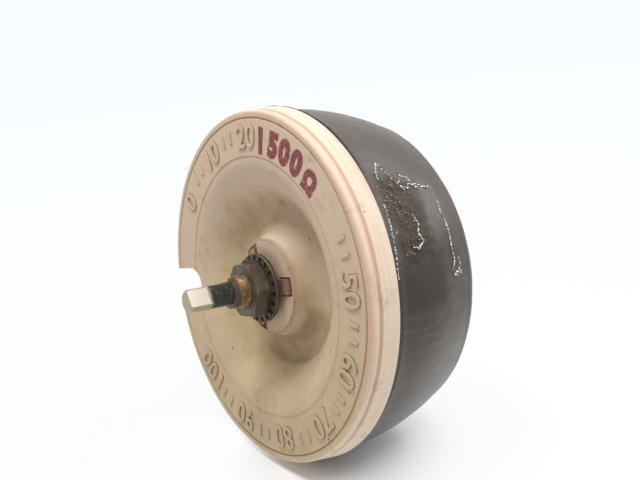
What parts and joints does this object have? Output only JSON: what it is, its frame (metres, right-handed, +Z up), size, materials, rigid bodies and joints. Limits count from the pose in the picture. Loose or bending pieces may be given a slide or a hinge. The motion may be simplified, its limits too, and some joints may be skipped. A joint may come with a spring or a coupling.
{
  "type": "wirewound rheostat",
  "caption": "Ring-type wirewound power rheostat: cream ceramic base with a dished centre, dark enamelled resistance ring, turning shaft with a sliding contact arm, screw terminals.",
  "frame": {"origin": "on the shaft's axis, in the plane of the flat ring round the front of the ceramic base, which lies against the panel", "axes": "-Y along the shaft, out of the front; +Y to the back; +Z up; the notch in the base's rim lies towards -X"},
  "size_m": [0.1108, 0.0722, 0.1016],
  "materials": {
    "cream_ceramic": "unglazed, fine grained",
    "core_ceramic": "unglazed",
    "resistance_alloy": "oxidised nickel alloy ribbon",
    "brown_enamel": "dark vitreous enamel, semi-gloss, blistered on one side",
    "terminal_brass": "dull",
    "plated_steel": "zinc plated",
    "collector_brass": "polished by the brush",
    "bushing_brass": "dull, cut thread",
    "mica": "translucent sheet",
    "browned_steel": "brown oxide",
    "black_steel": "black oxide, worn",
    "shaft_steel": "turned and ground",
    "white_ceramic": "unglazed",
    "graphite": "pressed metal graphite",
    "spring_bronze": "rolled sheet",
    "copper_braid": "woven"
  },
  "bodies": {
    "body": {"ceramic_base": "cream_ceramic", "ring_core": "core_ceramic", "resistance_winding": "resistance_alloy", "enamel_coat": "brown_enamel", "end_terminal_left": "terminal_brass", "end_terminal_right": "terminal_brass", "centre_terminal": "terminal_brass", "terminal_screws": "plated_steel", "terminal_washers": "plated_steel", "terminal_nuts": "plated_steel", "collector_ring": "collector_brass", "collector_rivets": "terminal_brass", "bushing": "bushing_brass", "mica_washer": "mica", "locating_plate": "browned_steel", "flat_washer": "black_steel", "lock_washer": "black_steel", "mounting_nut": "black_steel"},
    "rotor": {"shaft": "shaft_steel", "retaining_ring": "black_steel", "thrust_washer": "bushing_brass", "stop_plate": "plated_steel", "insulating_hub": "white_ceramic", "drive_pin": "plated_steel", "collector_brush": "graphite", "collector_spring": "plated_steel", "contact_arm": "spring_bronze", "backing_leaf": "spring_bronze", "arm_screws": "plated_steel", "brush_holder": "terminal_brass", "contact_brush": "graphite", "brush_shunt": "copper_braid"}
  },
  "joints": [
    {"name": "shaft_turn", "type": "hinge", "parent": "body", "child": "rotor", "pos_m": [0, 0, 0], "axis": [0, -1, 0], "range_deg": [0, 282]}
  ]
}
